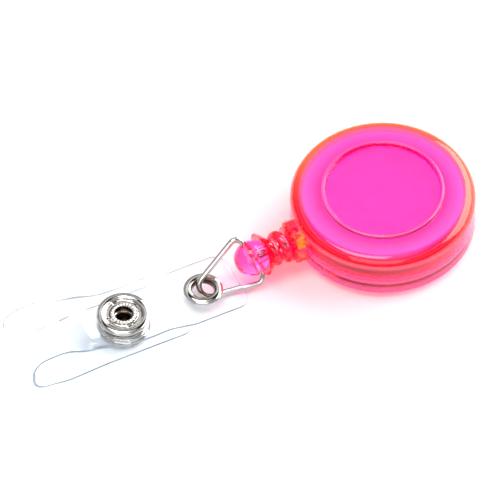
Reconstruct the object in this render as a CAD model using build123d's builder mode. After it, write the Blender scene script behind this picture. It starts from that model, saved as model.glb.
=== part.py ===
from build123d import *
import math
import os

# Retractable badge reel, millimetres.  +Z is up, away from the belt clip; the reel's
# axis is Z, and the cord leaves the case along -X.  z = 0 is the face it lies on.

# ---- case -------------------------------------------------------------------------
case_r = 16.0            # outer radius of both covers
clip_stand = 0.6         # how far the clip stands out of the rear cover
neck_z = 5.2             # height of the cord's line through the neck
seam_z = 3.85            # joint between the covers
face_z = 9.4             # flat outer face of the front cover
rim_round = 2.0          # rounding between the wall and the outer face
foot_round = 1.0         # rounding of the rear cover's edge
cavity_r = 14.6          # inside of the wall
cavity_floor = 2.8
cavity_ceiling = 8.2
lip_r = 15.2             # rear cover's locating lip
lip_h = 0.8
fit_gap = 0.05           # clearance of a fit, on the radius

ridge_r_out = 10.65      # raised ring round the label recess
ridge_r_in = 9.9
ridge_h = 0.6
ridge_round = 0.28
label_drop = 0.2
rim_mid = 1 - math.sqrt(0.5)   # middle of a quarter round, as a share of its radius

# ---- neck and cord ----------------------------------------------------------------
cord_r = 0.36
neck_w = 6.3
neck_half_h = 2.9
neck_tip = -17.9         # outer face of the neck's collar
neck_bevel = 0.9
neck_bore = 1.5
notch_w = 1.2            # moulding notch across the top and bottom of the collar's face
notch_d = 0.7
notch_len = 3.0
neck_clear = 0.05        # gap round the rear cover's half of the neck
groove_r = 2.15          # groove that traps the strain relief's flange
groove_x0 = -16.7
groove_x1 = -15.9
mouth_r = 2.2            # funnel where the cord enters the neck
mouth_x = -15.9

# ---- spool ------------------------------------------------------------------------
spool_r = 13.9
spool_top = 7.8
spool_bottom = 3.2
flange_top = 1.4
flange_low = 0.6
drum_r = 10.1
drum_bore = 9.1
web = 1.0                # closed end of the spring's chamber
post_r = 2.2             # fixed post that the spring is hooked to
post_top = 6.6
spigot_r = 1.3           # the post's tip, which the spool turns on
spigot_top = 7.35
thrust_r = 3.0           # raised pad under the spool
slot_w = 0.5
lid_r = 9.45
lid_h = 0.45
winding_r = 12.4
anchor_r = 0.55
anchor_fit = 0.12        # room round the anchoring knot
flange_round = 0.15
anchor_at = 11.3         # distance of the cord's anchoring knot from the axis

spring_t = 0.15
spring_w = 2.6
spring_z = 3.95
spring_pitch = 0.72
spring_r0 = 2.45
spring_turns = 9
tab_reach = 0.45         # depth of the slots that hold the spring's ends

# ---- belt clip --------------------------------------------------------------------
clip_w = 8.6
clip_t = 0.5
clip_bend_x = 12.0
clip_base_end = -5.5
clip_gap = 0.6
clip_bump_x = -8.0
clip_bump_z = 1.1
clip_flat_end = -4.5
clip_tip = -12.2
clip_split = 0.22        # the leg starts this far from the bend, so that it can turn
recess_w = 9.4
recess_x = 13.3          # half the length of the recess under the clip
recess_round = 1.2
recess_d = clip_gap + clip_t - clip_stand + clip_t
rivet_r = 1.0
rivet_head_r = 2.0
rivet_head_h = 0.4
rivet_top = 4.4
rivet_round = 0.25
clip_tip_round = 1.0
access_r = 2.6           # hole in the leg under the rivet's head

# ---- ball, cup and wire hook ------------------------------------------------------
ball_r = 3.1
ball_x = -25.3
cup_gap = 0.15
cup_rim_x = -23.5
cup_rim_r = 3.85
coil_width = 1.8         # section of the spiral's turn, along the cord and across it
coil_depth = 1.5
coil_pitch = 2.05
coil_r = 2.35
knot_r = 0.72
knot_off = 1.35          # knot's distance from the ball's centre
pocket_r = 0.9
wire_r = 0.52
wire_fit = 0.08
hook_roll = 48.0         # degrees: the hook's plane is turned about the cord
hook_yaw = 23.3
hook_pitch = -11.2
hook_half = 5.0          # half the base, to the sharp corners
hook_len = 14.73         # base to the sharp apex
hook_corner = 1.25
hook_tip = 2.0

# ---- strap ------------------------------------------------------------------------
strap_w = 12.0
strap_t = 0.5
eyelet_x = -35.0
eyelet_y = -0.59
strap_yaw = 1.0          # degrees: the strap lies a little askew
eyelet_bore = 1.9
eyelet_r = 3.45
snap_s = 15.2            # snap's distance from the eyelet, along the strap
leg_z = -2.85            # heights of the strap's layers, from the cord's line
leg_snap_z = -1.4
flap_snap_z = -4.4
fold_s = 35.0
fold_z = -0.9            # line about which the flap opens
fold_gap = 0.55          # the top layer ends this far above it
corner_r = 2.4
snap_r = 4.5
stud_r = 2.3
socket_mouth = 2.62

os.makedirs("parts", exist_ok=True)


def finish(builder, name):
    """Label a finished piece and write it as its own STEP file."""
    builder.part.label = name
    export_step(builder.part, f"parts/{name}.step")


def unit(vector):
    return vector * (1.0 / vector.length)


# ---- directions and frames --------------------------------------------------------
cord_line = Plane(origin=(0, 0, neck_z), x_dir=(0, -1, 0), z_dir=(-1, 0, 0))
ball_at = Vector(ball_x, 0, neck_z)

roll = math.radians(hook_roll)
yaw = math.radians(hook_yaw)
pitch = math.radians(hook_pitch)
base_dir = Vector(
    math.sin(yaw) * math.cos(roll), -math.cos(yaw) * math.cos(roll), -math.sin(roll)
)
out_dir = Vector(-1, 0, 0)
level_dir = unit(out_dir - base_dir * base_dir.dot(out_dir))
side_dir = level_dir.cross(base_dir)
hook_dir = level_dir * math.cos(pitch) + side_dir * math.sin(pitch)
hook_plane = Plane(origin=ball_at, x_dir=hook_dir, z_dir=hook_dir.cross(base_dir))

skew = math.radians(strap_yaw)
along = Vector(-math.cos(skew), math.sin(skew), 0)
eyelet_at = Vector(eyelet_x, eyelet_y, neck_z)
snap_at = eyelet_at + along * snap_s
strap_profile = Plane(origin=eyelet_at, x_dir=along, z_dir=along.cross(Vector(0, 0, 1)))


# ---- covers -----------------------------------------------------------------------
def neck_block(side):
    """One half of the bevelled collar: side is 1 above the cord's line, -1 below it."""
    half_w = neck_w / 2
    with BuildSketch(cord_line.offset(cavity_r)) as half:
        with BuildLine():
            Polyline(
                (-half_w, 0),
                (half_w, 0),
                (half_w, side * (neck_half_h - neck_bevel)),
                (half_w - neck_bevel, side * neck_half_h),
                (neck_bevel - half_w, side * neck_half_h),
                (-half_w, side * (neck_half_h - neck_bevel)),
                close=True,
            )
        make_face()
    extrude(half.sketch, amount=-neck_tip - cavity_r)


def cylinder_cut(plane, radius, depth):
    """Bore a round hole from a plane, against its normal."""
    with BuildSketch(plane) as hole:
        Circle(radius)
    extrude(hole.sketch, amount=-depth, mode=Mode.SUBTRACT)


def neck_passages():
    """Bore, flange groove and funnel along the cord's line."""
    cylinder_cut(cord_line.offset(-neck_tip), neck_bore, -neck_tip - cavity_r + 0.5)
    cylinder_cut(cord_line.offset(-groove_x0), groove_r, groove_x1 - groove_x0)
    with BuildSketch(cord_line.offset(-mouth_x)) as narrow_end:
        Circle(cord_r + 0.4)
    with BuildSketch(cord_line.offset(cavity_r - 0.1)) as wide_end:
        Circle(mouth_r)
    loft([narrow_end.sketch.face(), wide_end.sketch.face()], mode=Mode.SUBTRACT)


with BuildPart() as front_cover:
    with BuildSketch(Plane.XZ):
        with BuildLine():
            Polyline((0, face_z), (0, seam_z), (case_r, seam_z), (case_r, face_z - rim_round))
            ThreePointArc(
                (case_r, face_z - rim_round),
                (case_r - rim_round * rim_mid, face_z - rim_round * rim_mid),
                (case_r - rim_round, face_z),
            )
            Line((case_r - rim_round, face_z), (0, face_z))
        make_face()
    revolve(axis=Axis.Z)
    neck_block(1)
    with BuildSketch(Plane.XY.offset(face_z - label_drop)):
        Circle(ridge_r_in)
    extrude(amount=label_drop, mode=Mode.SUBTRACT)
    with BuildSketch(Plane.XY.offset(face_z)):
        Circle(ridge_r_out)
        Circle(ridge_r_in, mode=Mode.SUBTRACT)
    extrude(amount=ridge_h)
    fillet(front_cover.faces().sort_by(Axis.Z)[-1].edges(), ridge_round)
    cylinder_cut(Plane.XY.offset(cavity_ceiling), cavity_r, cavity_ceiling - seam_z)
    cylinder_cut(Plane.XY.offset(seam_z + lip_h + fit_gap), lip_r + fit_gap, lip_h + fit_gap)
    with BuildSketch(Plane.XY.offset(seam_z)):
        with Locations(((neck_tip - cavity_r) / 2, 0)):
            Rectangle(-neck_tip - cavity_r + 2, neck_w + 2 * neck_clear)
    extrude(amount=neck_z - seam_z, mode=Mode.SUBTRACT)
    with BuildSketch(Plane.XY.offset(neck_z + neck_half_h)):
        with Locations((neck_tip, 0)):
            Rectangle(notch_len, notch_w)
    extrude(amount=-notch_d, mode=Mode.SUBTRACT)
    neck_passages()
finish(front_cover, "front_cover")

with BuildPart() as rear_cover:
    with BuildSketch(Plane.XZ):
        with BuildLine():
            Polyline((0, seam_z), (case_r, seam_z), (case_r, clip_stand + foot_round))
            ThreePointArc(
                (case_r, clip_stand + foot_round),
                (case_r - foot_round * rim_mid, clip_stand + foot_round * rim_mid),
                (case_r - foot_round, clip_stand),
            )
            Polyline((case_r - foot_round, clip_stand), (0, clip_stand), (0, seam_z))
        make_face()
    revolve(axis=Axis.Z)
    with BuildSketch(Plane.XY.offset(seam_z)):
        Circle(lip_r)
    extrude(amount=lip_h)
    neck_block(-1)
    cylinder_cut(Plane.XY.offset(neck_z), cavity_r, neck_z - cavity_floor)
    with BuildSketch(Plane.XY.offset(cavity_floor)):
        Circle(post_r)
    extrude(amount=post_top - cavity_floor)
    with BuildSketch(Plane.XY.offset(cavity_floor)):
        Circle(thrust_r)
    extrude(amount=spool_bottom - cavity_floor - 2 * fit_gap)
    with BuildSketch(Plane.XY.offset(post_top)):
        Circle(spigot_r)
    extrude(amount=spigot_top - post_top)
    with BuildSketch(Plane.XY.offset(spring_z - 0.1)):
        with Locations((0, post_r)):
            Rectangle(slot_w, post_r * 1.2)
    extrude(amount=post_top - spring_z + 0.1, mode=Mode.SUBTRACT)
    with BuildSketch(Plane.XY.offset(clip_stand)):
        RectangleRounded(2 * recess_x, recess_w, recess_round)
    extrude(amount=recess_d, mode=Mode.SUBTRACT)
    cylinder_cut(Plane.XY.offset(rivet_top + fit_gap), rivet_r + fit_gap, rivet_top)
    with BuildSketch(Plane.XY.offset(neck_z - neck_half_h)):
        with Locations((neck_tip, 0)):
            Rectangle(notch_len, notch_w)
    extrude(amount=notch_d, mode=Mode.SUBTRACT)
    neck_passages()
finish(rear_cover, "rear_cover")


# ---- spool and what turns with it -------------------------------------------------
with BuildPart() as spool:
    with BuildSketch(Plane.XZ):
        with BuildLine():
            Polyline(
                (0, spool_top),
                (spool_r, spool_top),
                (spool_r, spool_top - flange_top),
                (drum_r, spool_top - flange_top),
                (drum_r, spool_bottom + flange_low),
                (spool_r, spool_bottom + flange_low),
                (spool_r, spool_bottom),
                (lid_r + fit_gap, spool_bottom),
                (lid_r + fit_gap, spool_bottom + lid_h + fit_gap),
                (drum_bore, spool_bottom + lid_h + fit_gap),
                (drum_bore, spool_top - web),
                (spigot_r + fit_gap, spool_top - web),
                (spigot_r + fit_gap, spigot_top + fit_gap),
                (0, spigot_top + fit_gap),
                close=True,
            )
        make_face()
    revolve(axis=Axis.Z)
    rims = spool.edges().filter_by(GeomType.CIRCLE).filter_by(lambda e: e.radius > spool_r - 0.01)
    fillet(rims, flange_round)
    with BuildSketch(Plane.XY.offset(spool_top - flange_top)):
        with Locations((anchor_at, 0)):
            Circle(anchor_r + anchor_fit)
    extrude(amount=2 * anchor_r + 0.1, mode=Mode.SUBTRACT)
    with BuildSketch(Plane.XY.offset(spring_z - 0.1)):
        with Locations((0, drum_bore)):
            Rectangle(slot_w, 2 * tab_reach)
    extrude(amount=spring_w + 0.2, mode=Mode.SUBTRACT)
finish(spool, "spool")

with BuildPart() as spring_retainer:
    with BuildSketch(Plane.XY.offset(spool_bottom)):
        Circle(lid_r)
        Circle(post_r + fit_gap, mode=Mode.SUBTRACT)
    extrude(amount=lid_h)
finish(spring_retainer, "spring_retainer")

with BuildPart() as mainspring:
    with BuildSketch(Plane.XY.offset(spring_z)):
        with BuildLine():
            Line((0, spring_r0 - 2 * tab_reach), (0, spring_r0))
            for half_turn in range(2 * spring_turns):
                reach = spring_r0 + half_turn * spring_pitch / 2
                centre = 0 if half_turn % 2 == 0 else -spring_pitch / 2
                side = -1 if half_turn % 2 == 0 else 1
                CenterArc((0, centre), reach, 90 if side < 0 else 270, 180)
            Line((0, reach + centre), (0, drum_bore + 0.8 * tab_reach))
        trace(line_width=spring_t)
    extrude(amount=spring_w)
finish(mainspring, "mainspring")

with BuildPart() as cord_winding:
    with BuildSketch(Plane.XY.offset(spool_bottom + flange_low)):
        Circle(winding_r)
        Circle(drum_r, mode=Mode.SUBTRACT)
    extrude(amount=spool_top - flange_top - spool_bottom - flange_low)
finish(cord_winding, "cord_winding")

with BuildPart() as cord_anchor:
    with BuildSketch(Plane.XZ):
        with BuildLine():
            base = spool_top - flange_top + 0.03
            CenterArc((anchor_at, base + anchor_r), anchor_r, -90, 180)
            Line((anchor_at, base + 2 * anchor_r), (anchor_at, base))
        make_face()
    revolve(axis=Axis((anchor_at, 0, 0), (0, 0, 1)))
finish(cord_anchor, "cord_anchor")


# ---- belt clip --------------------------------------------------------------------
clip_axis_z = clip_t + clip_gap / 2
clip_base_z = clip_t + clip_gap
bend_r = clip_gap / 2 + clip_t

with BuildPart() as clip_base:
    with BuildSketch(Plane.XZ):
        with BuildLine():
            Polyline(
                (clip_bend_x, clip_base_z),
                (clip_base_end, clip_base_z),
                (clip_base_end, clip_base_z + clip_t),
                (clip_bend_x, clip_base_z + clip_t),
            )
            ThreePointArc(
                (clip_bend_x, clip_base_z + clip_t),
                (clip_bend_x + bend_r, clip_axis_z),
                (clip_bend_x, 0),
            )
            Line((clip_bend_x, 0), (clip_bend_x, clip_t))
            ThreePointArc(
                (clip_bend_x, clip_t),
                (clip_bend_x + clip_gap / 2, clip_axis_z),
                (clip_bend_x, clip_base_z),
            )
        make_face()
    extrude(amount=clip_w / 2, both=True)
    cylinder_cut(Plane.XY.offset(clip_base_z + clip_t), rivet_r + fit_gap, clip_t)
finish(clip_base, "clip_base")

with BuildPart() as clip_leg:
    with BuildSketch(Plane.XZ):
        with BuildLine():
            FilletPolyline(
                (clip_bend_x - clip_split, clip_t / 2),
                (clip_flat_end, clip_t / 2),
                (clip_bump_x, clip_bump_z),
                (clip_tip, clip_t / 2 + 0.05),
                radius=1.2,
            )
        trace(line_width=clip_t)
    extrude(amount=clip_w / 2, both=True)
    fillet(clip_leg.edges().filter_by(Axis.Z).group_by(Axis.X)[0], clip_tip_round)
    cylinder_cut(Plane.XY.offset(clip_t + 0.1), access_r, clip_t + 0.2)
finish(clip_leg, "clip_leg")

with BuildPart() as clip_rivet:
    with BuildSketch(Plane.XY.offset(clip_base_z - rivet_head_h)):
        Circle(rivet_head_r)
    extrude(amount=rivet_head_h)
    fillet(clip_rivet.edges().sort_by(Axis.Z)[0], rivet_round)
    with BuildSketch(Plane.XY.offset(clip_base_z)):
        Circle(rivet_r)
    extrude(amount=rivet_top - clip_base_z)
    cylinder_cut(Plane.XY.offset(rivet_top), rivet_r / 2, rivet_r * 2)
finish(clip_rivet, "clip_rivet")


# ---- strain relief: trapped plug, spiral and cup -----------------------------------
cup_seat = ball_r + cup_gap
cord_axis = Axis((0, 0, neck_z), (1, 0, 0))


def about_cord(points):
    """Revolve a closed outline of (x, distance from the cord's line) points."""
    with BuildSketch(Plane.XZ) as outline:
        with BuildLine():
            Polyline(*[(x, neck_z + r) for x, r in points], close=True)
        make_face()
    revolve(outline.sketch, axis=cord_axis)


coil_start = neck_tip - coil_width / 2
coil_end = cup_rim_x + 1.65
channel_r = cord_r + 0.2

with BuildPart() as strain_relief:
    about_cord(
        (
            (mouth_x + 0.1, channel_r),
            (mouth_x + 0.1, neck_bore - fit_gap),
            (groove_x1 - fit_gap, neck_bore - fit_gap),
            (groove_x1 - fit_gap, groove_r - fit_gap),
            (groove_x0 + fit_gap, groove_r - fit_gap),
            (groove_x0 + fit_gap, neck_bore - fit_gap),
            (neck_tip - 0.05, neck_bore - fit_gap),
            (neck_tip - 0.05, coil_r + 0.75),
            (neck_tip - 0.55, coil_r + 0.75),
            (neck_tip - 0.75, channel_r),
        )
    )
    with BuildLine():
        Helix(
            pitch=coil_pitch,
            height=coil_start - coil_end,
            radius=coil_r,
            center=(coil_start, 0, neck_z),
            direction=(-1, 0, 0),
            cone_angle=-5,
        )
    spiral_path = strain_relief.pending_edges[0]
    spiral_way = spiral_path % 0
    width_way = unit(out_dir - spiral_way * spiral_way.dot(out_dir))
    with BuildSketch(Plane(origin=spiral_path @ 0, x_dir=width_way, z_dir=spiral_way)):
        Ellipse(coil_width / 2, coil_depth / 2)
    sweep(is_frenet=True)
    about_cord(
        (
            (cup_rim_x, cup_rim_r),
            (cup_rim_x + 0.9, 3.15),
            (cup_rim_x + 1.75, 2.2),
            (cup_rim_x + 2.1, 1.7),
            (cup_rim_x + 2.1, channel_r),
            (ball_x + cup_seat, channel_r),
            (ball_x + cup_seat * 0.96, cup_seat * 0.28),
            (ball_x + cup_seat * 0.87, cup_seat * 0.493),
            (ball_x + cup_seat * 0.73, cup_seat * 0.683),
            (cup_rim_x, cup_rim_r - 0.35),
        )
    )
finish(strain_relief, "strain_relief")


# ---- ball, cord and knots ---------------------------------------------------------
with BuildPart() as ball:
    with BuildSketch(Plane.XZ):
        with BuildLine():
            CenterArc((ball_x, neck_z), ball_r, 0, 180)
            Line((ball_x - ball_r, neck_z), (ball_x + ball_r, neck_z))
        make_face()
    revolve(axis=cord_axis)
    with BuildSketch(Plane(origin=ball_at - base_dir * ball_r * 1.1, z_dir=base_dir)):
        Circle(wire_r + wire_fit)
    extrude(amount=ball_r * 2.2, mode=Mode.SUBTRACT)
    cylinder_cut(cord_line.offset(-ball_x), channel_r, ball_r * 1.1)
    cylinder_cut(cord_line.offset(-ball_x - knot_off + pocket_r), pocket_r, 2 * pocket_r)
finish(ball, "ball")

with BuildPart() as cord_knot:
    with BuildSketch(Plane.XZ):
        with BuildLine():
            CenterArc((ball_x + knot_off, neck_z), knot_r, 0, 180)
            Line((ball_x + knot_off - knot_r, neck_z), (ball_x + knot_off + knot_r, neck_z))
        make_face()
    revolve(axis=cord_axis)
finish(cord_knot, "cord_knot")

lead_r = winding_r + cord_r + 0.05
mouth_at = -cavity_r - 0.15
tangent = math.acos(lead_r / -mouth_at)
lead_start = (-lead_r * math.cos(tangent), lead_r * math.sin(tangent))

with BuildPart() as cord_lead:
    with BuildLine(Plane.XY.offset(neck_z)) as lead_line:
        FilletPolyline(
            lead_start, (mouth_at, 0), (ball_x + knot_off + knot_r, 0), radius=2.0
        )
    with BuildSketch(Plane(origin=lead_line.line @ 0, z_dir=lead_line.line % 0)):
        Circle(cord_r)
    sweep()
finish(cord_lead, "cord_lead")


# ---- wire hook --------------------------------------------------------------------
gap_half = 0.1           # the wire's ends stop short of each other inside the ball

with BuildPart() as wire_hook:
    with BuildLine(hook_plane) as hook_line:
        FilletPolyline(
            (0, gap_half),
            (0, hook_half),
            (hook_len, 0),
            (0, -hook_half),
            (0, -gap_half),
            radius=[hook_corner, hook_tip, hook_corner],
        )
    with BuildSketch(Plane(origin=hook_line.line @ 0, z_dir=hook_line.line % 0)):
        Circle(wire_r)
    sweep()
finish(wire_hook, "wire_hook")


# ---- strap ------------------------------------------------------------------------
def strap_layer(points, radii):
    """A strip of the strap along a profile of (distance, height) points."""
    with BuildSketch(strap_profile) as strip:
        with BuildLine() as line:
            FilletPolyline(*points, radius=radii)
        trace(line.line, line_width=strap_t)
    extrude(strip.sketch, amount=strap_w / 2, both=True)


def strap_hole(at, radius, z_from, z_to):
    """An upright hole through one layer of the strap."""
    with BuildSketch(Plane(origin=(at.X, at.Y, neck_z + z_from))) as hole:
        Circle(radius)
    extrude(hole.sketch, amount=z_to - z_from, mode=Mode.SUBTRACT)


with BuildPart() as strap_top:
    strap_layer(
        (
            (-6.4, -3.2),
            (-3.5, leg_z),
            (4.2, leg_z),
            (9.2, leg_snap_z),
            (21.4, leg_snap_z),
            (28.6, 3.35),
            (fold_s, 2.9),
            (fold_s, fold_z + fold_gap),
        ),
        [6, 8, 6, 6, 6, 2.7],
    )
    fillet(strap_top.edges().filter_by(Axis.Z, tolerance=9).sort_by(Axis.X)[-2:], corner_r)
    strap_hole(eyelet_at, eyelet_bore + 0.3, leg_z - 1, leg_z + 1)
    strap_hole(snap_at, socket_mouth - 0.7, leg_snap_z - 1, leg_snap_z + 1)
finish(strap_top, "strap_top")

with BuildPart() as strap_flap:
    strap_layer(
        (
            (fold_s, fold_z),
            (fold_s, -3.7),
            (28.2, -4.85),
            (21.4, flap_snap_z),
            (9.4, flap_snap_z),
            (4.2, -4.6),
        ),
        [2.7, 8, 8, 8],
    )
    with BuildSketch(strap_profile):
        with Locations((fold_s, fold_z)):
            Circle(strap_t / 2)
    extrude(amount=strap_w / 2, both=True)
    fillet(strap_flap.edges().filter_by(Axis.Z, tolerance=9).sort_by(Axis.X)[-2:], corner_r)
    strap_hole(snap_at, socket_mouth - 0.7, flap_snap_z - 1, flap_snap_z + 1)
finish(strap_flap, "strap_flap")


# ---- eyelet and snap --------------------------------------------------------------
def turned(at, z, points):
    """Revolve a closed outline of (radius, height) points about an upright axis."""
    plane = Plane(origin=(at.X, at.Y, neck_z + z), x_dir=(1, 0, 0), z_dir=(0, -1, 0))
    with BuildSketch(plane) as outline:
        with BuildLine():
            Polyline(*points, close=True)
        make_face()
    revolve(outline.sketch, axis=Axis((at.X, at.Y, 0), (0, 0, 1)))


strap_top_gap = strap_t / 2 + 0.01

with BuildPart() as strap_eyelet:
    turned(
        eyelet_at,
        leg_z,
        (
            (eyelet_bore, -0.45),
            (eyelet_bore, 0.35),
            (2.1, 0.75),
            (2.55, 0.93),
            (3.05, 0.85),
            (eyelet_r, 0.5),
            (eyelet_r, strap_top_gap),
            (eyelet_bore + 0.28, strap_top_gap),
            (eyelet_bore + 0.28, -strap_top_gap),
            (3.1, -strap_top_gap),
            (2.9, -0.6),
            (2.3, -0.68),
        ),
    )
finish(strap_eyelet, "strap_eyelet")

with BuildPart() as snap_ring:
    turned(
        snap_at,
        leg_snap_z,
        (
            (1.6, -0.24),
            (1.6, 0.72),
            (1.95, 0.86),
            (2.25, 0.72),
            (2.25, 0.45),
            (3.2, 0.45),
            (3.45, 0.85),
            (3.9, 0.97),
            (4.3, 0.82),
            (snap_r, 0.5),
            (4.3, strap_top_gap),
            (1.85, strap_top_gap),
            (1.85, -0.24),
        ),
    )
    with BuildSketch(Plane(origin=(snap_at.X, snap_at.Y, neck_z + leg_snap_z))):
        with PolarLocations(2.7, 4):
            Rectangle(0.55, 1.1)
    extrude(amount=1.2, mode=Mode.SUBTRACT)
finish(snap_ring, "snap_ring")

with BuildPart() as snap_stud:
    turned(
        snap_at,
        leg_snap_z,
        (
            (1.2, -strap_top_gap),
            (3.9, -strap_top_gap),
            (4.0, -0.5),
            (3.9, -0.72),
            (stud_r - 0.1, -0.72),
            (stud_r - 0.12, -1.2),
            (stud_r, -1.5),
            (stud_r - 0.1, -1.85),
            (1.7, -2.0),
            (1.2, -2.0),
        ),
    )
finish(snap_stud, "snap_stud")

with BuildPart() as snap_socket:
    turned(
        snap_at,
        flap_snap_z,
        (
            (1.3, strap_top_gap),
            (4.25, strap_top_gap),
            (snap_r, 0.6),
            (4.3, 0.95),
            (4.35, 1.3),
            (4.2, 1.75),
            (3.6, 1.95),
            (socket_mouth, 1.95),
            (socket_mouth, 1.6),
            (3.3, 1.6),
            (3.3, 0.95),
            (socket_mouth, 0.95),
            (socket_mouth, 0.55),
            (1.3, 0.55),
        ),
    )
finish(snap_socket, "snap_socket")

with BuildPart() as snap_spring:
    spring_ring = Plane(origin=(snap_at.X, snap_at.Y, neck_z + flap_snap_z + 1.28))
    with BuildLine(spring_ring) as ring_line:
        CenterArc((0, 0), 2.95, 20, 320)
    with BuildSketch(Plane(origin=ring_line.line @ 0, z_dir=ring_line.line % 0)):
        Circle(0.22)
    sweep()
finish(snap_spring, "snap_spring")

with BuildPart() as snap_cap:
    turned(
        snap_at,
        flap_snap_z,
        (
            (0, -0.75),
            (2.6, -0.75),
            (3.85, -0.65),
            (4.3, -0.45),
            (4.35, -strap_top_gap),
            (1.6, -strap_top_gap),
            (1.6, 0.2),
            (1.1, 0.2),
            (1.1, -0.35),
            (0, -0.35),
        ),
    )
finish(snap_cap, "snap_cap")
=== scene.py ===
import math

import bmesh
import bpy
from mathutils import Matrix, Vector


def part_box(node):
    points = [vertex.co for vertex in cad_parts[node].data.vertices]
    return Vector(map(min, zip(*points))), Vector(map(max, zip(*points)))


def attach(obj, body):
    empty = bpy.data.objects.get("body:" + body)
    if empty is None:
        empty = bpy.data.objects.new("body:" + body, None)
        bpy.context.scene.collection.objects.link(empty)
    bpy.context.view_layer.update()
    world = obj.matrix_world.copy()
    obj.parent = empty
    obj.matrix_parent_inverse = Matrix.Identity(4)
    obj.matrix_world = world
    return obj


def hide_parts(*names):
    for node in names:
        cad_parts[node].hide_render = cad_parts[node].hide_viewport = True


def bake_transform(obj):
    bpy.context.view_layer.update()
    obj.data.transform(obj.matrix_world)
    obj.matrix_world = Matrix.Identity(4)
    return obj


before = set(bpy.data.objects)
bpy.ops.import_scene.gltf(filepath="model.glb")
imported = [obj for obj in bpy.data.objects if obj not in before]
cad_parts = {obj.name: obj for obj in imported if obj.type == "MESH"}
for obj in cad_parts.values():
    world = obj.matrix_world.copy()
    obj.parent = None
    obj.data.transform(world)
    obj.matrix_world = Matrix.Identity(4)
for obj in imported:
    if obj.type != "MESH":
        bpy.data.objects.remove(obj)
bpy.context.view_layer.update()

# A retractable badge reel, in metres.  Lengths that belong to the object are written in
# millimetres and multiplied by MM.  The reel's axis is Z, and its cord leaves along -X.
MM = 0.001
UP = Vector((0, 0, 1))

CORD_Z = 5.2 * MM                 # height of the cord's line
CORD_R = 0.36 * MM
CASE_R = 16 * MM
CASE_H = 10 * MM
FACE_R = 14 * MM                  # flat of the cover, inside its rounded rim
RIDGE_IN = 9 * MM                 # just inside the ring round the label recess
DRUM_R = 10.1 * MM
WINDING_R = 12.4 * MM
PLASTIC_IOR = 1.52
VINYL_IOR = 1.45

# Where the strap's eyelet and snap are, read from the frame.
eyelet_low, eyelet_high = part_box("strap_eyelet")
snap_low, snap_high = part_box("snap_ring")
EYELET = Vector(((eyelet_low.x + eyelet_high.x) / 2, (eyelet_low.y + eyelet_high.y) / 2, CORD_Z))
SNAP = Vector(((snap_low.x + snap_high.x) / 2, (snap_low.y + snap_high.y) / 2, CORD_Z))
ALONG = (SNAP - EYELET).normalized()
ACROSS = ALONG.cross(UP)


# ---- mesh helpers -----------------------------------------------------------------
def add_mesh(name, mesh):
    """Put a mesh in the scene as a smooth-shaded object."""
    for polygon in mesh.polygons:
        polygon.use_smooth = True
    piece = bpy.data.objects.new(name, mesh)
    bpy.context.scene.collection.objects.link(piece)
    return piece


def mesh_from(name, points, faces):
    mesh = bpy.data.meshes.new(name)
    mesh.from_pydata([tuple(p) for p in points], [], faces)
    mesh.validate()
    return add_mesh(name, mesh)


def baked(piece):
    """Apply a piece's modifiers, and keep the result as its mesh."""
    depsgraph = bpy.context.evaluated_depsgraph_get()
    mesh = bpy.data.meshes.new_from_object(piece.evaluated_get(depsgraph))
    piece.modifiers.clear()
    piece.data = mesh
    return piece


def filleted(points, radii, step):
    """A 2-D path through points, its inner corners rounded to radii, sampled every step."""
    corners = [Vector(p) for p in points]
    path = [corners[0]]
    for before, corner, after, radius in zip(corners, corners[1:], corners[2:], radii):
        inward = (before - corner).normalized()
        onward = (after - corner).normalized()
        half = inward.angle(onward) / 2
        reach = radius / math.tan(half)
        centre = corner + (inward + onward).normalized() * radius / math.sin(half)
        first = corner + inward * reach - centre
        last = corner + onward * reach - centre
        turn = first.angle_signed(last) * -1
        count = max(3, round(abs(turn) * radius / step))
        for i in range(count + 1):
            path.append(centre + Matrix.Rotation(turn * i / count, 2) @ first)
    path.append(corners[-1])
    return path


class Profile:
    """A 2-D path that a flat strip is bent along."""

    def __init__(self, points, radii, step):
        self.points = filleted(points, radii, step)
        self.lengths = [0.0]
        for a, b in zip(self.points, self.points[1:]):
            self.lengths.append(self.lengths[-1] + (b - a).length)
        self.total = self.lengths[-1]

    def at(self, length):
        """Point and left-hand normal at a distance along the path."""
        i = 1
        while i < len(self.lengths) - 1 and self.lengths[i] < length:
            i += 1
        a, b = self.points[i - 1], self.points[i]
        span = self.lengths[i] - self.lengths[i - 1]
        share = (length - self.lengths[i - 1]) / span if span > 0 else 0
        direction = (b - a).normalized()
        return a.lerp(b, share), Vector((-direction.y, direction.x))

    def find(self, x, from_end=False):
        """Distance along the path at which it first (or last) passes x."""
        order = range(len(self.points) - 1)
        for i in reversed(order) if from_end else order:
            a, b = self.points[i].x, self.points[i + 1].x
            if a != b and min(a, b) <= x <= max(a, b):
                share = (x - a) / (b - a)
                return self.lengths[i] + share * (self.lengths[i + 1] - self.lengths[i])
        raise ValueError(f"the path never passes {x}")


def rounded_outline(length, width, corners, segments=10):
    """Outline of a strip from x = 0 to length, its four corners rounded to two radii."""
    outline = []
    half = width / 2
    for cx, cy, start, radius in (
        (0, -half, 180, corners[0]),
        (length, -half, 270, corners[1]),
        (length, half, 0, corners[1]),
        (0, half, 90, corners[0]),
    ):
        ox = cx + radius if cx == 0 else cx - radius
        oy = cy + radius if cy < 0 else cy - radius
        for i in range(segments + 1):
            angle = math.radians(start + 90 * i / segments)
            outline.append((ox + radius * math.cos(angle), oy + radius * math.sin(angle)))
    return outline


def circle(x, y, radius, segments=40):
    turns = [2 * math.pi * i / segments for i in range(segments)]
    return [(x + radius * math.cos(turn), y + radius * math.sin(turn)) for turn in turns]


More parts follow.
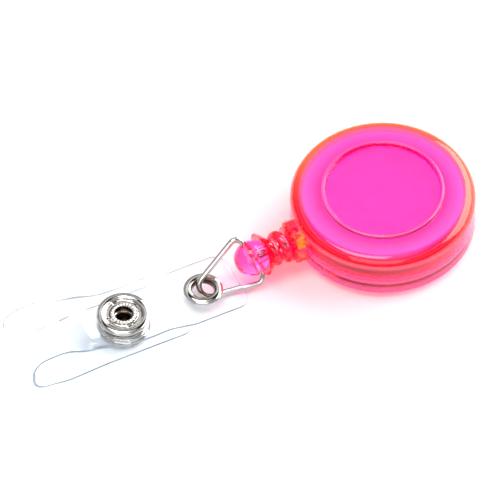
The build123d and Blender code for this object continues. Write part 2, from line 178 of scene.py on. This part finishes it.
def flat_strip(outline, holes, cuts_x, cuts_y):
    """A filled outline with holes, cut across at each of the given distances."""
    curve = bpy.data.curves.new("outline", "CURVE")
    curve.dimensions = "2D"
    curve.fill_mode = "BOTH"
    for ring in [outline] + holes:
        spline = curve.splines.new("POLY")
        spline.points.add(len(ring) - 1)
        for point, (x, y) in zip(spline.points, ring):
            point.co = (x, y, 0, 1)
        spline.use_cyclic_u = True
    holder = bpy.data.objects.new("outline", curve)
    filled = bpy.data.meshes.new_from_object(holder)
    bpy.data.objects.remove(holder)
    sheet = bmesh.new()
    sheet.from_mesh(filled)
    bmesh.ops.remove_doubles(sheet, verts=sheet.verts, dist=1e-7)
    for x in cuts_x:
        geometry = sheet.verts[:] + sheet.edges[:] + sheet.faces[:]
        bmesh.ops.bisect_plane(sheet, geom=geometry, plane_co=(x, 0, 0), plane_no=(1, 0, 0), dist=1e-7)
    for y in cuts_y:
        geometry = sheet.verts[:] + sheet.edges[:] + sheet.faces[:]
        bmesh.ops.bisect_plane(sheet, geom=geometry, plane_co=(0, y, 0), plane_no=(0, 1, 0), dist=1e-7)
    return sheet


def bent_strip(name, sheet, thickness, place, edge_round, materials):
    """Give a flat sheet its thickness, bend it with place(x, y, height), and round its edges.
    The two materials are those of its faces and of its cut edges."""
    sheet.verts.index_update()
    count = len(sheet.verts)
    points = [place(v.co.x, v.co.y, thickness / 2) for v in sheet.verts]
    points += [place(v.co.x, v.co.y, -thickness / 2) for v in sheet.verts]
    faces = []
    for face in sheet.faces:
        ring = [v.index for v in face.verts]
        if face.normal.z < 0:
            ring.reverse()
        faces.append(ring)
        faces.append([i + count for i in reversed(ring)])
    for edge in sheet.edges:
        if len(edge.link_faces) != 1:
            continue
        loop = edge.link_loops[0]
        a, b = loop.vert.index, loop.link_loop_next.vert.index
        if edge.link_faces[0].normal.z < 0:
            a, b = b, a
        faces.append([a, a + count, b + count, b])
    sheet.free()
    piece = mesh_from(name, points, faces)
    for polygon in piece.data.polygons:
        layers = {i < count for i in polygon.vertices}
        polygon.material_index = len(layers) - 1
    for material in materials:
        piece.data.materials.append(material)
    bevel = piece.modifiers.new("edge", "BEVEL")
    bevel.width = edge_round
    bevel.segments = 3
    bevel.limit_method = "ANGLE"
    bevel.angle_limit = math.radians(50)
    return baked(piece)


def frames_along(path, closed=False):
    """Two normals at each point of a 3-D path, turning as little as they can."""
    tangents = []
    for i, point in enumerate(path):
        before = path[i - 1] if i or closed else point
        after = path[(i + 1) % len(path)] if i + 1 < len(path) or closed else point
        tangents.append((after - before).normalized())
    normal = tangents[0].orthogonal().normalized()
    frames = []
    for tangent in tangents:
        normal = (normal - tangent * normal.dot(tangent)).normalized()
        frames.append((normal, tangent.cross(normal)))
    return frames


def tube(name, path, radius, sides=12, closed=False, relief=None):
    """A tube along a 3-D path.  relief(distance, angle) scales its radius."""
    frames = frames_along(path, closed)
    points = []
    distance = 0.0
    for i, (centre, (u, v)) in enumerate(zip(path, frames)):
        if i:
            distance += (centre - path[i - 1]).length
        for j in range(sides):
            angle = 2 * math.pi * j / sides
            r = radius * (relief(distance, angle) if relief else 1)
            points.append(centre + u * math.cos(angle) * r + v * math.sin(angle) * r)
    rings = len(path)
    faces = []
    for i in range(rings if closed else rings - 1):
        for j in range(sides):
            a, b = i * sides + j, i * sides + (j + 1) % sides
            c, d = (b + sides) % (rings * sides), (a + sides) % (rings * sides)
            faces.append((a, b, c, d))
    if not closed:
        faces.append(tuple(reversed(range(sides))))
        faces.append(tuple(range((rings - 1) * sides, rings * sides)))
    return mesh_from(name, points, faces)


def eased(outline, times=2):
    """Cut the corners of a closed outline, so that it turns smoothly."""
    for _ in range(times):
        cut = []
        for (r0, z0), (r1, z1) in zip(outline, outline[1:] + outline[:1]):
            cut.append((r0 * 0.75 + r1 * 0.25, z0 * 0.75 + z1 * 0.25))
            cut.append((r0 * 0.25 + r1 * 0.75, z0 * 0.25 + z1 * 0.75))
        outline = cut
    return outline


def lathe(name, axis_at, outline, segments=96, relief=None):
    """Turn a closed outline of (radius, height), in millimetres, about an upright axis.
    relief(angle, radius, height) gives an added radius and height, as for teeth."""
    points = []
    for i in range(segments):
        angle = 2 * math.pi * i / segments
        for r, z in outline:
            dr, dz = relief(angle, r, z) if relief else (0, 0)
            flat = Vector((math.cos(angle), math.sin(angle), 0)) * (r + dr)
            points.append(axis_at + (flat + UP * (z + dz)) * MM)
    rows = len(outline)
    faces = []
    for i in range(segments):
        for j in range(rows):
            a, b = i * rows + j, i * rows + (j + 1) % rows
            c, d = (b + rows) % len(points), (a + rows) % len(points)
            faces.append((a, b, c, d))
    return mesh_from(name, points, faces)


# ---- materials --------------------------------------------------------------------
class Finish:
    """A node material under construction."""

    def __init__(self, name):
        self.material = bpy.data.materials.new(name)
        self.material.use_nodes = True
        self.nodes = self.material.node_tree.nodes
        self.links = self.material.node_tree.links
        self.shader = self.nodes["Principled BSDF"]
        self.output = self.nodes["Material Output"]
        self.place = self.nodes.new("ShaderNodeTexCoord").outputs["Object"]

    def link(self, source, target):
        self.links.new(source, target)

    def noise(self, scale, detail=3.0, roughness=0.5, vector=None):
        node = self.nodes.new("ShaderNodeTexNoise")
        node.inputs["Scale"].default_value = scale
        node.inputs["Detail"].default_value = detail
        node.inputs["Roughness"].default_value = roughness
        self.link(vector or self.place, node.inputs["Vector"])
        return node.outputs["Fac"]

    def scaled(self, scale):
        """The object's coordinates, stretched by a scale for each axis."""
        node = self.nodes.new("ShaderNodeMapping")
        node.inputs["Scale"].default_value = scale
        self.link(self.place, node.inputs["Vector"])
        return node.outputs["Vector"]

    def ramp(self, value, stops):
        """Map a 0-1 value through (position, colour) stops."""
        node = self.nodes.new("ShaderNodeValToRGB")
        elements = node.color_ramp.elements
        while len(elements) < len(stops):
            elements.new(0.5)
        for element, (position, colour) in zip(elements, stops):
            element.position = position
            element.color = (*colour, 1)
        self.link(value, node.inputs["Fac"])
        return node.outputs["Color"]

    def to_range(self, value, low, high, start=0.0, end=1.0, smooth=False):
        """Rescale a value from low..high to start..end, clamped."""
        node = self.nodes.new("ShaderNodeMapRange")
        node.interpolation_type = "SMOOTHSTEP" if smooth else "LINEAR"
        for socket, number in (("From Min", low), ("From Max", high), ("To Min", start), ("To Max", end)):
            node.inputs[socket].default_value = number
        self.link(value, node.inputs["Value"])
        return node.outputs["Result"]

    def mixed(self, factor, a, b):
        """Mix two colours, each a tuple or a socket."""
        node = self.nodes.new("ShaderNodeMix")
        node.data_type = "RGBA"
        self.link(factor, node.inputs["Factor"])
        for socket, value in ((node.inputs[6], a), (node.inputs[7], b)):
            if isinstance(value, tuple):
                socket.default_value = (*value, 1)
            else:
                self.link(value, socket)
        return node.outputs[2]

    def around(self, centre):
        """Distance from an upright axis through centre."""
        flat = self.nodes.new("ShaderNodeVectorMath")
        flat.operation = "MULTIPLY"
        flat.inputs[1].default_value = (1, 1, 0)
        self.link(self.place, flat.inputs[0])
        apart = self.nodes.new("ShaderNodeVectorMath")
        apart.operation = "DISTANCE"
        apart.inputs[1].default_value = (centre.x, centre.y, 0)
        self.link(flat.outputs["Vector"], apart.inputs[0])
        return apart.outputs["Value"]

    def along(self, direction):
        """Distance in a direction, from the frame's origin."""
        node = self.nodes.new("ShaderNodeVectorMath")
        node.operation = "DOT_PRODUCT"
        node.inputs[1].default_value = direction
        self.link(self.place, node.inputs[0])
        return node.outputs["Value"]

    def height(self):
        split = self.nodes.new("ShaderNodeSeparateXYZ")
        self.link(self.place, split.inputs["Vector"])
        return split.outputs["Z"]

    def bump(self, height, distance):
        node = self.nodes.new("ShaderNodeBump")
        node.inputs["Strength"].default_value = 1.0
        node.inputs["Distance"].default_value = distance
        self.link(height, node.inputs["Height"])
        self.link(node.outputs["Normal"], self.shader.inputs["Normal"])

    def set(self, **values):
        for name, value in values.items():
            socket = self.shader.inputs[name.replace("_", " ")]
            if hasattr(value, "node"):
                self.link(value, socket)
            else:
                socket.default_value = (*value, 1) if isinstance(value, tuple) else value

    def clear_to_light(self, tint):
        """Let light reach what is behind the surface, tinted."""
        path = self.nodes.new("ShaderNodeLightPath")
        clear = self.nodes.new("ShaderNodeBsdfTransparent")
        clear.inputs["Color"].default_value = (*tint, 1)
        mix = self.nodes.new("ShaderNodeMixShader")
        self.link(path.outputs["Is Shadow Ray"], mix.inputs[0])
        self.link(self.shader.outputs[0], mix.inputs[1])
        self.link(clear.outputs[0], mix.inputs[2])
        self.link(mix.outputs[0], self.output.inputs["Surface"])

    def absorb(self, colour, density):
        node = self.nodes.new("ShaderNodeVolumeAbsorption")
        node.inputs["Color"].default_value = (*colour, 1)
        node.inputs["Density"].default_value = density
        self.link(node.outputs[0], self.output.inputs["Volume"])


def moulded_pink(name, thin, density, glow):
    """Clear fluorescent plastic for the small fittings: pink where thin, red where thick."""
    f = Finish(name)
    f.set(
        Base_Color=f.ramp(f.noise(220, 2), [(0.3, (1.0, 0.86, 0.92)), (0.7, (1.0, 0.94, 0.97))]),
        Transmission_Weight=1.0,
        IOR=PLASTIC_IOR,
        Roughness=f.to_range(f.noise(900, 4), 0.3, 0.7, 0.0, 0.03),
        # Painted glow: red emission over the whole fitting, standing in for light the fluorescent plastic
        # gathers.
        Emission_Color=f.ramp(f.noise(350, 2), [(0.3, (1.0, 0.0, 0.10)), (0.7, (1.0, 0.05, 0.04))]),
        Emission_Strength=glow,
    )
    f.bump(f.noise(1500, 3), 0.002 * MM)
    f.absorb(thin, density)
    f.clear_to_light((1.0, 0.9, 0.95))
    return f.material


def cover_pink(name, density):
    """The covers' clear fluorescent plastic.  Light gathers in it and leaves at its edges; that glow
    is painted, as emission and base colour set by position and side: orange at its rim and foot,
    red in its wall and neck, and faint on its face.  A painted highlight lightens the ridge, and
    painted shade darkens a band just outside it."""
    f = Finish(name)
    out = f.around(Vector((0, 0, 0)))
    z = f.to_range(f.height(), 0, CASE_H)
    # Painted glow on the neck: red emission with orange patches, over a red base colour.
    neck = f.to_range(out, CASE_R + 0.1 * MM, CASE_R + 0.4 * MM, smooth=True)
    neck_glow = f.ramp(
        f.noise(420, 2), [(0.42, (0.75, 0.0, 0.03)), (0.55, (0.85, 0.03, 0.02)), (0.64, (1.0, 0.26, 0.01))]
    )
    # Painted light by side: the near (front) side and the far side get different painted glow.
    near = f.to_range(f.along((-0.7, -0.7, 0)), -6 * MM, 9 * MM, smooth=True)
    wall = f.to_range(out, FACE_R - 0.1 * MM, FACE_R + 0.6 * MM, smooth=True)
    face = f.to_range(out, RIDGE_IN, FACE_R)
    # Painted shade: a darker pink band in the face's base colour just outside the ridge, for the ridge's
    # shadow.
    face_ridge_shade = f.ramp(
        face,
        [(0.2, (1.0, 0.94, 0.97)), (0.36, (1.0, 0.62, 0.82)), (0.6, (1.0, 0.92, 0.96))],
    )
    # Painted highlight on the ridge and painted sheen on the outer face, as emission.
    face_painted_light = f.ramp(
        face,
        [
            (0.22, (0.03, 0.0, 0.01)),
            (0.26, (0.15, 0.13, 0.15)),
            (0.30, (0.15, 0.13, 0.15)),
            (0.34, (0.02, 0.0, 0.0)),
            (0.95, (0.14, 0.08, 0.12)),
        ],
    )
    # Painted glow up the wall by height, far side then near side; its dark bands are only less painted
    # glow.
    far_glow = f.ramp(
        z,
        [
            (0.06, (0.75, 0.14, 0.05)),
            (0.20, (0.45, 0.06, 0.14)),
            (0.50, (0.30, 0.02, 0.08)),
            (0.70, (0.45, 0.06, 0.08)),
            (0.84, (0.75, 0.14, 0.04)),
            (0.95, (0.85, 0.17, 0.03)),
        ],
    )
    near_glow = f.ramp(
        z,
        [
            (0.04, (0.85, 0.12, 0.02)),
            (0.11, (0.60, 0.08, 0.26)),
            (0.26, (0.60, 0.06, 0.18)),
            (0.32, (0.12, 0.0, 0.0)),
            (0.38, (0.42, 0.03, 0.10)),
            (0.50, (0.32, 0.03, 0.08)),
            (0.58, (0.02, 0.0, 0.0)),
            (0.70, (0.02, 0.0, 0.0)),
            (0.78, (0.40, 0.10, 0.14)),
            (0.84, (0.50, 0.0, 0.0)),
            (0.92, (0.60, 0.0, 0.0)),
            (0.97, (0.30, 0.04, 0.10)),
        ],
    )
    wall_glow = f.mixed(near, far_glow, near_glow)
    # Painted glow colour: the rim's base colour turns orange by height.
    rim_glow_tint = f.ramp(
        z,
        [
            (0.10, (1.0, 0.62, 0.40)),
            (0.30, (1.0, 0.48, 0.30)),
            (0.65, (1.0, 0.45, 0.38)),
            (0.85, (1.0, 0.38, 0.18)),
        ],
    )
    # Base colour and emission here are painted light: red neck, orange rim, painted ridge shade on the
    # face, and painted glow throughout.
    f.set(
        Base_Color=f.mixed(neck, f.mixed(wall, face_ridge_shade, rim_glow_tint), (1.0, 0.30, 0.30)),
        Transmission_Weight=1.0,
        IOR=PLASTIC_IOR,
        Roughness=f.to_range(f.noise(900, 4), 0.3, 0.7, 0.0, 0.03),
        Emission_Color=f.mixed(neck, f.mixed(wall, face_painted_light, wall_glow), neck_glow),
        Emission_Strength=1.0,
    )
    f.bump(f.noise(1500, 3), 0.002 * MM)
    f.absorb((1.0, 0.02, 0.79), density)
    f.clear_to_light((1.0, 0.92, 0.97))
    return f.material


def white_plastic():
    f = Finish("white_plastic")
    speck = f.noise(2500, 4)
    f.set(
        Base_Color=f.ramp(f.noise(260, 3), [(0.3, (0.50, 0.46, 0.50)), (0.7, (0.56, 0.53, 0.56))]),
        Roughness=f.to_range(speck, 0.3, 0.7, 0.3, 0.5),
        Subsurface_Weight=0.15,
        Subsurface_Scale=0.6 * MM,
    )
    f.bump(speck, 0.01 * MM)
    return f.material


def metal(name, dark, light, rough, grain, bores=()):
    """Polished or rolled metal, with fine scratches along grain and a drifting tone.  Round
    bores, as (axis, radius), get painted shade: dark brown inside, where shade falls."""
    f = Finish(name)
    scratches = f.noise(900, 5, 0.6, f.scaled(grain))
    colour = f.ramp(f.noise(420, 3), [(0.3, dark), (0.7, light)])
    for centre, radius in bores:
        # Painted shade: the stamping turns dark brown within each bore's radius of its axis.
        inside = f.to_range(f.around(centre), radius * 0.9, radius * 1.12, 1, 0)
        colour = f.mixed(inside, colour, (0.13, 0.095, 0.065))
    f.set(
        Base_Color=colour,
        Metallic=1.0,
        Roughness=f.to_range(scratches, 0.35, 0.7, rough[0], rough[1]),
    )
    f.bump(scratches, 0.003 * MM)
    return f.material


def braided_cord():
    f = Finish("black_cord")
    wave = f.nodes.new("ShaderNodeTexWave")
    wave.inputs["Scale"].default_value = 700
    wave.inputs["Distortion"].default_value = 1.5
    wave.bands_direction = "DIAGONAL"
    f.link(f.place, wave.inputs["Vector"])
    fibres = f.noise(6000, 4)
    f.set(
        Base_Color=f.ramp(wave.outputs["Fac"], [(0.2, (0.006, 0.005, 0.006)), (0.8, (0.035, 0.03, 0.032))]),
        Roughness=f.to_range(fibres, 0.3, 0.7, 0.5, 0.8),
        Sheen_Weight=0.25,
    )
    f.bump(wave.outputs["Fac"], 0.03 * MM)
    return f.material


def clear_vinyl():
    f = Finish("clear_vinyl")
    f.set(
        Base_Color=f.ramp(f.noise(140, 2), [(0.3, (0.90, 0.935, 0.965)), (0.7, (0.94, 0.96, 0.98))]),
        Transmission_Weight=1.0,
        IOR=VINYL_IOR,
        Roughness=f.to_range(f.noise(700, 4), 0.3, 0.7, 0.0, 0.04),
    )
    f.bump(f.noise(500, 3), 0.010 * MM)
    f.clear_to_light((0.97, 0.98, 0.99))
    return f.material


def vinyl_edge():
    """The strap's die-cut edges, faintly frosted."""
    f = Finish("vinyl_edge")
    cut = f.noise(3000, 4)
    f.set(
        # Partly painted shade: the edges' blue-grey tone, darker than the faces, draws the edge lines; the
        # frosting is real.
        Base_Color=f.ramp(f.noise(160, 2), [(0.35, (0.27, 0.34, 0.42)), (0.65, (0.46, 0.57, 0.68))]),
        Transmission_Weight=0.3,
        IOR=VINYL_IOR,
        Roughness=f.to_range(cut, 0.3, 0.7, 0.25, 0.5),
    )
    f.bump(cut, 0.006 * MM)
    f.clear_to_light((0.93, 0.96, 0.98))
    return f.material


finishes = {
    "pink_plastic": cover_pink("pink_plastic", 1450),
    "white_plastic": white_plastic(),
    "spring_steel": metal("spring_steel", (0.30, 0.30, 0.32), (0.46, 0.45, 0.44), (0.2, 0.35), (1, 1, 8)),
    "clip_steel": metal("clip_steel", (0.52, 0.51, 0.50), (0.66, 0.65, 0.63), (0.14, 0.26), (1, 10, 1)),
    "black_cord": braided_cord(),
    "nickel_wire": metal("nickel_wire", (0.50, 0.48, 0.45), (0.68, 0.65, 0.62), (0.03, 0.10), (6, 1, 1)),
    "nickel_stamping": metal(
        "nickel_stamping",
        (0.50, 0.48, 0.45),
        (0.70, 0.67, 0.64),
        (0.04, 0.12),
        (1, 1, 6),
        [(EYELET, 2.25 * MM), (SNAP, 1.6 * MM)],
    ),
    "clear_vinyl": clear_vinyl(),
}
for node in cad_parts.values():
    slot = node.material_slots[0]
    slot.material = finishes[slot.material.name.split(".")[0]]
# The two small fittings are moulded in mixes of their own.
for name, finish in (
    ("ball", moulded_pink("pink_ball", (1.0, 0.04, 0.84), 340, 0.17)),
    ("strain_relief", moulded_pink("pink_fitting", (1.0, 0.03, 0.55), 1500, 0.12)),
):
    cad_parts[name].material_slots[0].material = finish


def dress(piece, slot):
    """Give a new piece the finish of a material slot."""
    piece.data.materials.clear()
    piece.data.materials.append(finishes[slot])
    return piece


# ---- vinyl strap: one strip, folded over the snap ------------------------------------
STRAP_T = 0.5 * MM
STRAP_W = 12 * MM
CORNER = 2.4 * MM
EYELET_HOLE_R = 2.2 * MM
SNAP_HOLE_R = 1.92 * MM
# Heights of the strap's layers from the cord's line, in mm.
LEG_Z = -2.85
LEG_SNAP_Z = -1.4
FLAP_SNAP_Z = -4.4
# The strap from the side: distance from the eyelet and height, in mm, from its end over the
# snap, round the fold and back under the snap.
strap_points = (
    (-6.4, -3.2), (-3.5, LEG_Z), (4.2, LEG_Z), (9.2, LEG_SNAP_Z), (21.4, LEG_SNAP_Z), (28.6, 3.35),
    (35, 2.9), (35, -3.7), (28.2, -4.85), (21.4, FLAP_SNAP_Z), (9.4, FLAP_SNAP_Z), (4.2, -4.6),
)
strap_radii = (6, 8, 6, 6, 6, 2.7, 2.7, 8, 8, 8)
strap_line = Profile(
    [Vector(p) * MM for p in strap_points], [r * MM for r in strap_radii], 0.25 * MM
)
SNAP_S = (SNAP - EYELET).length
STRAP_CUTS = 160


def crown(x, y):
    """How far the vinyl's edges spring up past the snap, which holds only its middle flat."""
    if x > strap_line.total / 2:
        return 0.0
    s = strap_line.at(x)[0].x / MM
    side = (abs(y) / (STRAP_W / 2)) ** 4
    rise = 1.5 * math.exp(-(((s - 21.6) / 3.0) ** 2)) - 0.3 * math.exp(-(((s - 12.5) / 3.5) ** 2))
    return rise * side * MM


def on_strap(x, y, height):
    """Bend a point of the flat strap to its place."""
    point, normal = strap_line.at(x)
    point = point - normal * height
    return EYELET + ALONG * point.x + UP * (point.y + crown(x, y)) + ACROSS * y


strap_holes = [
    circle(strap_line.find(0), 0, EYELET_HOLE_R),
    circle(strap_line.find(SNAP_S), 0, SNAP_HOLE_R),
    circle(strap_line.find(SNAP_S, from_end=True), 0, SNAP_HOLE_R),
]
strap_cuts = [strap_line.total * i / STRAP_CUTS for i in range(1, STRAP_CUTS)]
strap = bent_strip(
    "strap",
    flat_strip(
        rounded_outline(strap_line.total, STRAP_W, (CORNER, CORNER)),
        strap_holes,
        strap_cuts,
        [STRAP_W * share for share in (-0.42, -0.33, -0.22, -0.1, 0.1, 0.22, 0.33, 0.42)],
    ),
    STRAP_T,
    on_strap,
    0.1 * MM,
    (finishes["clear_vinyl"], vinyl_edge()),
)
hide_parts("strap_top", "strap_flap")
# The bend is a thin band that clears every part of both layers: it leans with the strap.
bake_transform(strap)

# ---- eyelet and snap ----------------------------------------------------------------
TEETH = 22
UNDER = 0.26                      # half the vinyl's thickness and a hair more, in mm


def ring_relief(angle, r, z):
    """Teeth on the rolled rim of the barrel, and four windows in the floor round it."""
    if z > 0.7 and r < 2.35:
        return 0.0, 0.05 * math.cos(TEETH * angle)
    quarter = (angle + math.pi / 4) % (math.pi / 2) - math.pi / 4
    if 2.5 < r < 3.15 and 0.3 < z < 0.6 and abs(quarter) < 0.2:
        return 0.0, -0.17
    return 0.0, 0.0


# Each turned piece: its axis, height, body, relief, and outline of (radius, height) in mm.
hardware = {
    "strap_eyelet": (
        EYELET, LEG_Z, "strap", None,
        [(1.88, -0.5), (1.88, 0.3), (1.98, 0.72), (2.3, 0.92), (2.7, 0.95), (3.15, 0.84), (3.42, 0.58),
         (3.45, UNDER + 0.1), (3.3, UNDER), (2.18, UNDER), (2.18, -UNDER), (3.1, -UNDER), (3.1, -0.4),
         (2.9, -0.6), (2.3, -0.68)],
    ),
    "snap_ring": (
        SNAP, LEG_SNAP_Z, "strap", ring_relief,
        [(1.56, -0.24), (1.5, 0.45), (1.55, 0.78), (1.75, 0.93), (2.0, 0.95), (2.25, 0.85), (2.36, 0.62),
         (2.46, 0.47), (2.75, 0.44), (3.1, 0.46), (3.22, 0.6), (3.36, 0.86), (3.65, 1.02), (4.1, 1.02),
         (4.48, 0.86), (4.66, 0.58), (4.62, 0.34), (4.4, UNDER), (1.86, UNDER), (1.86, -0.24)],
    ),
    "snap_stud": (
        SNAP, LEG_SNAP_Z, "strap", None,
        [(1.2, -UNDER), (3.9, -UNDER), (4.15, -0.38), (4.15, -0.6), (3.9, -0.76), (2.5, -0.76),
         (2.2, -0.85), (2.15, -1.2), (2.3, -1.5), (2.2, -1.85), (1.7, -2.0), (1.2, -2.0)],
    ),
    "snap_socket": (
        SNAP, FLAP_SNAP_Z, "flap", None,
        [(1.3, UNDER), (4.35, UNDER), (4.62, 0.42), (4.62, 0.68), (4.4, 0.88), (4.36, 0.98), (4.56, 1.16),
         (4.56, 1.5), (4.3, 1.76), (3.7, 1.95), (2.62, 1.95), (2.62, 1.6), (3.3, 1.6), (3.3, 0.95),
         (2.62, 0.95), (2.62, 0.55), (1.3, 0.55)],
    ),
    "snap_cap": (
        SNAP, FLAP_SNAP_Z, "flap", None,
        [(0.0, -0.75), (2.6, -0.75), (3.6, -0.7), (4.15, -0.56), (4.36, -0.36), (4.3, -UNDER),
         (1.6, -UNDER), (1.6, 0.2), (1.1, 0.2), (1.1, -0.35), (0.0, -0.35)],
    ),
}
for node, (axis_at, height, body, relief, outline) in hardware.items():
    piece = lathe(node + "_turned", axis_at + UP * height * MM, eased(outline), 176, relief)
    dress(piece, "nickel_stamping")
    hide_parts(node)
    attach(piece, body)

# ---- cord -------------------------------------------------------------------------

def braid(distance, angle):
    """Crossing strands of a round braid."""
    twist = distance / (1.1 * MM) * 2 * math.pi
    return 0.93 + 0.07 * max(math.cos(4 * angle + twist), math.cos(4 * angle - twist))


def straight_then(points, step):
    """Sample straight runs every step."""
    path = []
    for a, b in zip(points, points[1:]):
        count = max(1, round((b - a).length / step))
        path += [a.lerp(b, i / count) for i in range(count)]
    return path + [points[-1]]


knot_low, knot_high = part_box("cord_knot")
MOUTH_X = -14.75 * MM             # where the cord turns into the neck
LEAD_STEP = 0.12 * MM
lead_r = WINDING_R + CORD_R + 0.05 * MM
tangent = math.acos(lead_r / -MOUTH_X)
lead_plan = filleted(
    [
        (-lead_r * math.cos(tangent), lead_r * math.sin(tangent)),
        (MOUTH_X, 0),
        (knot_low.x + 0.3 * MM, 0),
    ],
    [2 * MM],
    LEAD_STEP,
)
lead_path = straight_then([Vector((p.x, p.y, CORD_Z)) for p in lead_plan], LEAD_STEP)
cord_lead = tube("cord_lead_braid", lead_path, CORD_R, 16, relief=braid)
dress(cord_lead, "black_cord")
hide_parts("cord_lead")
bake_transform(cord_lead)

# Knot at the cord's end, inside the ball.
knot_centre = (knot_low + knot_high) / 2
KNOT_STEPS = 120
knot_path = []
for i in range(KNOT_STEPS):
    t = 2 * math.pi * i / KNOT_STEPS
    knot_path.append(
        knot_centre
        + Vector(
            (
                math.sin(3 * t) * 0.32,
                (math.sin(t) + 2 * math.sin(2 * t)) * 0.155,
                (math.cos(t) - 2 * math.cos(2 * t)) * 0.155,
            )
        )
        * MM
    )
knot = tube("cord_knot_tied", knot_path, 0.25 * MM, 12, closed=True, relief=braid)
dress(knot, "black_cord")
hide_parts("cord_knot")
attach(knot, "cord_end")

# The wound cord: layers of turns side by side, each layer coming back over the last.
wind_low, wind_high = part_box("cord_winding")
LAYERS = 3
TURNS = 3.4
STEPS = int(TURNS * 90)
wind_bottom = wind_low.z + CORD_R
wind_rise = wind_high.z - wind_low.z - 2 * CORD_R
wind_path = []
for layer in range(LAYERS):
    for i in range(STEPS):
        share = i / STEPS
        angle = 2 * math.pi * TURNS * (layer + share)
        r = DRUM_R + (layer + 0.5 + 0.12 * math.sin(5 * angle)) * 2 * CORD_R
        climb = share if layer % 2 == 0 else 1 - share
        wind_path.append(
            Vector((r * math.cos(angle), r * math.sin(angle), wind_bottom + wind_rise * climb))
        )
winding = tube("cord_winding_turns", wind_path, CORD_R, 8)
dress(winding, "black_cord")
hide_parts("cord_winding")
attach(winding, "spool")

# ---- studio -----------------------------------------------------------------------
FLOOR = 2.0
floor = mesh_from(
    "floor",
    [(-FLOOR, -FLOOR, 0), (FLOOR, -FLOOR, 0), (FLOOR, FLOOR, 0), (-FLOOR, FLOOR, 0)],
    [(0, 1, 2, 3)],
)
paper = Finish("paper")
paper.set(
    Base_Color=paper.ramp(paper.noise(30, 4), [(0.3, (0.74, 0.74, 0.74)), (0.7, (0.77, 0.77, 0.77))]),
    Roughness=0.9,
    Specular_IOR_Level=0.0,
)
floor.data.materials.append(paper.material)

AZIMUTH = math.radians(-27)
ELEVATION = math.radians(51.9)
DISTANCE = 3.0
VIEW_WIDTH = 84.68 * MM
back = Vector(
    (
        math.sin(AZIMUTH) * math.cos(ELEVATION),
        -math.cos(AZIMUTH) * math.cos(ELEVATION),
        math.sin(ELEVATION),
    )
)
target = Vector((-24.29, 4.20, 3.2)) * MM
camera_data = bpy.data.cameras.new("camera")
camera_data.angle = 2 * math.atan(VIEW_WIDTH / 2 / DISTANCE)
camera_data.clip_start = 0.01
camera_data.clip_end = 20
camera = bpy.data.objects.new("camera", camera_data)
camera.location = target + back * DISTANCE
camera.rotation_euler = back.to_track_quat("Z", "Y").to_euler()
bpy.context.scene.collection.objects.link(camera)
bpy.context.scene.camera = camera


def softbox(name, azimuth, elevation, distance, size, power):
    """A soft area light aimed at the object, placed by its direction."""
    light = bpy.data.lights.new(name, "AREA")
    light.shape = "RECTANGLE"
    light.size, light.size_y = size
    light.energy = power
    lamp = bpy.data.objects.new(name, light)
    a, e = math.radians(azimuth), math.radians(elevation)
    way = Vector((math.cos(e) * math.cos(a), math.cos(e) * math.sin(a), math.sin(e)))
    lamp.location = way * distance
    lamp.rotation_euler = way.to_track_quat("Z", "Y").to_euler()
    bpy.context.scene.collection.objects.link(lamp)


softbox("key", 6, 32, 0.8, (1.15, 0.65), 13.0)
softbox("top", 150, 80, 0.9, (0.4, 0.4), 3.2)
softbox("front", -125, 42, 0.9, (0.8, 0.5), 2.5)

world = bpy.data.worlds.new("studio")
bpy.context.scene.world = world
world.use_nodes = True
background = world.node_tree.nodes["Background"]
direction = world.node_tree.nodes.new("ShaderNodeTexCoord")
split = world.node_tree.nodes.new("ShaderNodeSeparateXYZ")
tones = world.node_tree.nodes.new("ShaderNodeValToRGB")
# Brightness by height: a bright room with two dark bands, which the metal mirrors.
stops = (
    (0.0, 0.04),
    (0.12, 0.08),
    (0.25, 0.9),
    (0.52, 1.2),
    (0.56, 0.06),
    (0.63, 0.06),
    (0.67, 1.9),
    (0.80, 1.8),
    (0.83, 0.06),
    (0.925, 0.06),
    (0.965, 1.9),
)
elements = tones.color_ramp.elements
while len(elements) < len(stops):
    elements.new(0.5)
for element, (height, level) in zip(elements, stops):
    element.position = height
    element.color = (level, level, level * 1.02, 1)
world.node_tree.links.new(direction.outputs["Generated"], split.inputs["Vector"])
world.node_tree.links.new(split.outputs["Z"], tones.inputs["Fac"])
world.node_tree.links.new(tones.outputs["Color"], background.inputs["Color"])
background.inputs["Strength"].default_value = 0.55

bpy.context.scene.view_settings.view_transform = "Standard"
bpy.context.scene.cycles.max_bounces = 24
bpy.context.scene.cycles.transmission_bounces = 18
bpy.context.scene.cycles.transparent_max_bounces = 32


def corners(box):
    return [[float(x) for x in corner] for corner in box]
